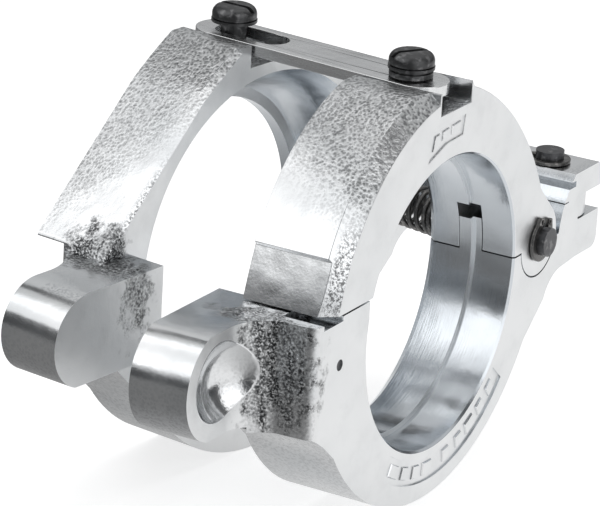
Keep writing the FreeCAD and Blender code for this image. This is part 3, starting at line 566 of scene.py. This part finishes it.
# %% Zinc finish of a ring
def ring_roughness(mix, place, zone):
    """How blurred the reflections are, from the polished seat to the rough grain."""
    worn = mix.fade(mix.noise(place, 90, 4), 0.3, 0.75, 0.0, 0.09)
    base = mix.calc("ADD", mix.calc("ADD", mix.calc("MULTIPLY", zone.side, 0.17), 0.15), worn)
    base = mix.calc("SUBTRACT", base, mix.calc("MULTIPLY", zone.polish, 0.08))
    return mix.calc("ADD", base, mix.calc("MULTIPLY", zone.grain, 0.12))


NOWHERE = (0, -0.3, 0)  # for a jaw that has no lug


def zinc(name, centre, grain_low, grain_high, lean=0.0, neck=NOWHERE, seat=NOWHERE):
    """Zinc plate on the ring that turns about centre.

    Cast grain fades in between two heights, and lean lowers that border towards one side face.  neck is
    the middle of a rough patch, and seat the middle of the ball whose polished print is in the lug.
    """
    material, mix, shader = metal(name, 1.0)
    place, facing = ring_view(mix, centre)
    zone = smooth_zones(mix, place, facing, seat)
    rough_zones(mix, place, zone, grain_low, grain_high, lean, neck)
    normal, leather = ring_relief(mix, place, zone)
    mix.join(ring_colour(mix, place, zone, leather), shader.inputs["Base Color"])
    mix.join(normal, shader.inputs["Normal"])
    mix.join(ring_roughness(mix, place, zone), shader.inputs["Roughness"])
    return material


# %% Zinc of the four jaws
NEAR_NECK = (-0.002, -0.0665, 0.001)
FAR_NECK = (0.010, -0.066, 0.008)
NEAR_SEAT = (0.0033, -0.082, -0.001)
FAR_SEAT = (-0.0045, -0.082, -0.001)
zincs = {
    "near_upper_jaw": zinc("zinc_near_upper", NEAR_RING, 0.033, 0.047, 0.4),
    "near_lower_jaw": zinc("zinc_near_lower", NEAR_RING, 0.060, 0.090, 0.0, NEAR_NECK, NEAR_SEAT),
    "far_upper_jaw": zinc("zinc_far_upper", FAR_RING, 0.024, 0.048, -1.1, FAR_NECK, FAR_SEAT),
    "far_lower_jaw": zinc("zinc_far_lower", FAR_RING, 0.060, 0.090),
}
print("zinc finishes:", ", ".join(sorted(zincs)))

# %% [markdown]
# The link bar is flat stock, cut and plated.  It could share the jaws' finish, but it was never forged
# and has no grain.  Its brush marks run along its length, so the noise is turned with the bar and
# stretched along it.


# %% Bar finish
BAR_YAW = math.radians(5.87)  # the bar crosses the V at this angle
BAR_BRIGHT = (0.84, 0.845, 0.85, 1)
BAR_GREY = (0.72, 0.73, 0.74, 1)


def bar_finish(name, yaw):
    """Plated flat bar with faint marks along it."""
    material, mix, shader = metal(name, 1.0)
    turned = mix.node("ShaderNodeMapping")
    mix.join(mix.node("ShaderNodeTexCoord").outputs["Object"], turned.inputs["Vector"])
    turned.inputs["Rotation"].default_value = (0, 0, yaw)
    marks = mix.noise(mix.stretch(turned.outputs[0], (40, 900, 900)), 1.0, 4)
    clouds = mix.noise(turned.outputs[0], 70, 3)
    mix.join(mix.blend(clouds, BAR_BRIGHT, BAR_GREY), shader.inputs["Base Color"])
    mix.join(mix.fade(marks, 0.25, 0.8, 0.16, 0.34), shader.inputs["Roughness"])
    mix.join(mix.bump(marks, 0.00003, 0.6, mix.bump(clouds, 0.0006, 0.3)), shader.inputs["Normal"])
    return material


bar_zinc = bar_finish("zinc_bar", BAR_YAW)
print("bar finish turned by", round(math.degrees(BAR_YAW), 2), "degrees")

# %% [markdown]
# The dark steels.  The screws are black oxide, the pins hardened and blackened, and the clips and
# springs are dark spring steel.  Plain black paint would look like plastic: a black oxide is a thin
# skin on metal, so it still mirrors, and it rubs off to grey on high spots.  All three are one recipe
# with other numbers.


# %% Dark steels
def dark_steel(name, colour, edge, shine):
    """Blackened steel: nearly black, with fine grain and paler rubbed spots."""
    material, mix, shader = metal(name, 0.85)
    place = mix.node("ShaderNodeTexCoord").outputs["Object"]
    rubbed = mix.fade(mix.noise(place, 500, 4), 0.52, 0.70)
    mix.join(mix.blend(rubbed, colour + (1,), edge + (1,)), shader.inputs["Base Color"])
    dull = mix.fade(mix.noise(place, 260, 3), 0.3, 0.7, shine, shine + 0.16)
    mix.join(dull, shader.inputs["Roughness"])
    mix.join(mix.bump(mix.noise(place, 1400, 3), 0.00004, 0.8), shader.inputs["Normal"])
    return material


black_oxide = dark_steel("black_oxide", (0.080, 0.081, 0.083), (0.20, 0.20, 0.205), 0.28)
pin_steel = dark_steel("blackened_pin", (0.090, 0.091, 0.096), (0.22, 0.22, 0.225), 0.26)
spring_steel = dark_steel("spring_wire", (0.120, 0.118, 0.116), (0.30, 0.29, 0.28), 0.20)
print("three dark steels")

# %% [markdown]
# Handing the finishes out.  The pieces' names say what they are, so a few words in a name choose the
# finish.  A CAD piece comes with a plain material of its own, which is taken off first.

# %% Give every CAD piece its finish
finishes = dict(zincs)
finishes["link_bar"] = bar_zinc
for node in frame["nodes"]:
    if "screw" in node:
        finishes[node] = black_oxide
    elif "clip" in node or "spring" in node:
        finishes[node] = spring_steel
    elif node not in finishes:
        finishes[node] = pin_steel
for node, thing in frame["nodes"].items():
    thing.data.materials.clear()
    thing.data.materials.append(finishes[node])
print(len(finishes), "pieces have a finish")

# %% [markdown]
# Soft edges.  No forged or ground edge is a perfect knife edge, and a bright metal shows it: a rounded
# edge catches a thin line of light.  The CAD mesh itself must stay as it is, so modifiers do the work:
# Weld joins the patches that the CAD model comes in, Bevel rounds whatever is still sharp, and
# Weighted Normal keeps the large flats flat in the shading.


# %% Edge rounding
def soften(thing, width, steps, angle=32):
    """Round the sharp edges of a CAD piece and shade it smoothly."""
    for polygon in thing.data.polygons:
        polygon.use_smooth = True
    weld = thing.modifiers.new("join patches", "WELD")
    weld.merge_threshold = 0.000002
    bevel = thing.modifiers.new("soft edges", "BEVEL")
    bevel.width = width
    bevel.segments = steps
    bevel.limit_method = "ANGLE"
    bevel.angle_limit = math.radians(angle)
    bevel.use_clamp_overlap = True
    shade = thing.modifiers.new("flat faces stay flat", "WEIGHTED_NORMAL")
    shade.weight = 80
    shade.keep_sharp = True


JAW_EDGE = 0.0005
SMALL_EDGE = JAW_EDGE * 0.4
for node, thing in frame["nodes"].items():
    if node.endswith("_jaw"):
        soften(thing, JAW_EDGE, 3)
    else:
        soften(thing, SMALL_EDGE, 2)
print("edges rounded by", JAW_EDGE * 1000, "mm on the jaws")

# %% [markdown]
# Coil springs.  A coil is a circle swept along a helix.  Blender's curve bevel could do it, but a mesh
# lets the coils sit closer together at both ends, as on a real spring that is closed and ground.  The
# first step is the middle line of the wire: it climbs slowly in the end turns and evenly between them.


# %% Middle line of the wire
STEPS_PER_TURN = 28
CLOSED_TURNS = 1.0


def climb(t, turns, span, wire):
    """How far the wire has climbed at turn t, of a climb of span in all."""
    slow = wire * 1.02
    free = (span - 2 * CLOSED_TURNS * slow) / (turns - 2 * CLOSED_TURNS)
    if t < CLOSED_TURNS:
        return t * slow
    if t > turns - CLOSED_TURNS:
        return span - (turns - t) * slow
    return CLOSED_TURNS * slow + (t - CLOSED_TURNS) * free


def helix(start, end, radius, wire, turns):
    """Points along the middle of the wire."""
    axis = (end - start).normalized()
    across = axis.orthogonal().normalized()
    third = axis.cross(across)
    span = (end - start).length - wire
    steps = int(turns * STEPS_PER_TURN)
    line = []
    for i in range(steps + 1):
        t = turns * i / steps
        angle = 2 * math.pi * t
        ring = across * math.cos(angle) + third * math.sin(angle)
        line.append(start + axis * (wire / 2 + climb(t, turns, span, wire)) + ring * radius)
    return line


print("a turn of wire has", STEPS_PER_TURN, "steps")

# %% [markdown]
# The second step is the wire's surface.  Round every point of the line goes a small ring of corners,
# set square to the helix, or the wire would look pinched.  Neighbouring rings are joined by faces, and
# both ends of the wire are closed by a flat cap, so the mesh has no hole.


# %% Surface of the wire
WIRE_SIDES = 12


def wire_corners(line, start, axis, wire):
    """A ring of corners round each point of the line, square to it."""
    corners = []
    for i, point in enumerate(line):
        ahead = line[min(i + 1, len(line) - 1)] - line[max(i - 1, 0)]
        ahead.normalize()
        middle = start + axis * (point - start).dot(axis)
        out = (point - middle).normalized()
        out = (out - ahead * out.dot(ahead)).normalized()
        lift = ahead.cross(out)
        for k in range(WIRE_SIDES):
            a = 2 * math.pi * k / WIRE_SIDES
            corners.append(point + (out * math.cos(a) + lift * math.sin(a)) * wire / 2)
    return corners


def wire_faces(steps):
    """Faces between neighbouring rings of corners, and the two caps."""
    faces = []
    for i in range(steps):
        for k in range(WIRE_SIDES):
            a = i * WIRE_SIDES + k
            b = i * WIRE_SIDES + (k + 1) % WIRE_SIDES
            faces.append((a, b, b + WIRE_SIDES, a + WIRE_SIDES))
    faces.append(tuple(range(WIRE_SIDES - 1, -1, -1)))
    faces.append(tuple(steps * WIRE_SIDES + k for k in range(WIRE_SIDES)))
    return faces


def coil(name, start, end, radius, wire, turns, finish):
    """A compression spring with closed ends, as a mesh between two points."""
    line = helix(start, end, radius, wire, turns)
    corners = wire_corners(line, start, (end - start).normalized(), wire)
    mesh = bpy.data.meshes.new(name)
    mesh.from_pydata([tuple(p) for p in corners], [], wire_faces(len(line) - 1))
    mesh.validate()
    for polygon in mesh.polygons:
        polygon.use_smooth = len(polygon.vertices) == 4
    mesh.materials.append(finish)
    return add_to_scene(name, mesh)


print("the wire has", WIRE_SIDES, "sides")

# %% [markdown]
# The return spring sits between the heads of the two jaw pins and pushes the V open.  A stiff coil
# that rode on one ring would cut into the other head as the V closes.  This coil is one fixed mesh
# between the two heads.

# %% Return spring
HEAD_REACH = 0.0020  # a jaw pin's head stands this far out of the ring
NEAR_HALF = 0.0130  # from the middle of the near ring to its inner face
FAR_FACE = 0.0105  # from the middle of the far ring to its inner face
FOOT_GAP = 0.0018
TIP_GAP = 0.0010
COIL_RADIUS = 0.0057
COIL_WIRE = 0.0015
COIL_TURNS = 7.25
pin_face = NEAR_PIN - Vector((NEAR_HALF + HEAD_REACH, 0, 0))
far_pin_face = FAR_PIN + ALONG_FAR * (FAR_FACE + HEAD_REACH)
spring_way = (far_pin_face - pin_face).normalized()
spring_foot = pin_face + spring_way * FOOT_GAP
spring_tip = far_pin_face - spring_way * TIP_GAP
return_coil = coil(
    "return_spring_coil", spring_foot, spring_tip, COIL_RADIUS, COIL_WIRE, COIL_TURNS, spring_steel
)
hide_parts("return_spring")
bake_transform(return_coil)
print("return spring", round((spring_tip - spring_foot).length * 1000, 2), "mm long")

# %% [markdown]
# The latch springs are hidden in the front joint of each ring, behind a plunger that holds the closed
# jaws together.  Their ends are read from the plain tube that stands for each of them in the CAD
# model, so the coil fills the same room.

# %% Latch springs
LATCH_RADIUS = 0.0021
LATCH_WIRE = 0.0007
LATCH_TURNS = 8.25
latches = (("near_latch_spring", "near_frame", "near_latch"), ("far_latch_spring", "far_upper", "far_latch"))
for node, body, latch in latches:
    low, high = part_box(node)
    centre = (low + high) / 2
    foot = Vector((centre.x, centre.y, low.z))
    tip = Vector((centre.x, centre.y, high.z))
    small = coil(node + "_coil", foot, tip, LATCH_RADIUS, LATCH_WIRE, LATCH_TURNS, spring_steel)
    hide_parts(node)
    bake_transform(small)
    print(small.name, round((tip - foot).length * 1000, 2), "mm long")

# %% [markdown]
# Raised marks.  Forgings carry raised marks in shallow panels.  Here they are plain bars with no
# letters.  A bump could fake them, but it casts no shadow and has no outline, so each one is a low
# prism with sloping sides, whose edges catch light as a forged mark's do.  A panel's bars are one mesh,
# which rides on the jaw that carries it.


# %% Low prisms
def low_prism(corners, face_x, height, slope):
    """Points and faces of a bar on a face that looks along +X.  corners are (y, z) in metres."""
    count = len(corners)
    mid_y = sum(c[0] for c in corners) / count
    mid_z = sum(c[1] for c in corners) / count
    foot = [(face_x, y, z) for y, z in corners]
    crown = [(face_x + height, mid_y + (y - mid_y) * slope, mid_z + (z - mid_z) * slope) for y, z in corners]
    faces = [tuple(range(count - 1, -1, -1)), tuple(range(count, 2 * count))]
    for k in range(count):
        after = (k + 1) % count
        faces.append((k, after, count + after, count + k))
    return foot + crown, faces


def bar_panel(name, prisms, body, finish):
    """One object from several prisms, riding on a body."""
    points = []
    faces = []
    for some, few in prisms:
        faces += [tuple(i + len(points) for i in face) for face in few]
        points += some
    mesh = bpy.data.meshes.new(name)
    mesh.from_pydata(points, [], faces)
    shell = bmesh.new()
    shell.from_mesh(mesh)
    bmesh.ops.recalc_face_normals(shell, faces=shell.faces)
    shell.to_mesh(mesh)
    shell.free()
    mesh.materials.append(finish)
    thing = add_to_scene(name, mesh)
    bevel = thing.modifiers.new("soft edges", "BEVEL")
    bevel.width = 0.0001
    bevel.segments = 2
    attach(thing, body)
    return thing


print("a panel of bars is one mesh")


# %% Bars under the bore
def ring_bar(angle, spread, low, high, face_x, height):
    """A bar on the ring's side face that follows the ring, between two radii."""
    corners = []
    for radius, turns in ((low, (-1, 0, 1)), (high, (1, 0, -1))):
        for step in turns:
            a = math.radians(angle + step * spread)
            corners.append((radius * math.cos(a), radius * math.sin(a)))
    return low_prism(corners, face_x, height, 0.86)


LABEL_FACE = 0.0125  # the bottom of the panel under the bore
LABEL_INNER = 0.0441
LABEL_OUTER = 0.0479
LABEL_HEIGHT = 0.00045
LABEL_ANGLES = (-117, -109, -101, -93, -80, -71, -63, -55, -47)
NARROW, WIDE = 2.3, 3.2  # half a bar, in degrees; every third bar is a wide one
label_prisms = [
    ring_bar(angle, NARROW if k % 3 else WIDE, LABEL_INNER, LABEL_OUTER, LABEL_FACE, LABEL_HEIGHT)
    for k, angle in enumerate(LABEL_ANGLES)
]
label_bars = bar_panel("label_bars", label_prisms, "near_frame", zincs["near_lower_jaw"])
print(len(label_prisms), "bars under the bore")

# %% Bars on the upper jaw
PLAQUE_FACE = 0.0126
PLAQUE_HEIGHT = 0.00035
plaque_corners = (
    ((-11.4, 44.4), (-10.3, 48.7), (-7.8, 48.9), (-8.8, 45.3)),
    ((-6.6, 46.3), (-6.2, 49.0), (-2.8, 49.3), (-3.2, 46.6)),
    ((-1.6, 46.8), (-1.3, 49.4), (3.4, 49.7), (2.9, 46.9)),
)  # y and z in millimetres
plaque_prisms = [
    low_prism([(y / 1000, z / 1000) for y, z in corners], PLAQUE_FACE, PLAQUE_HEIGHT, 0.85)
    for corners in plaque_corners
]
plaque_bars = bar_panel("plaque_bars", plaque_prisms, "near_upper", zincs["near_upper_jaw"])
print(len(plaque_prisms), "bars on the upper jaw")
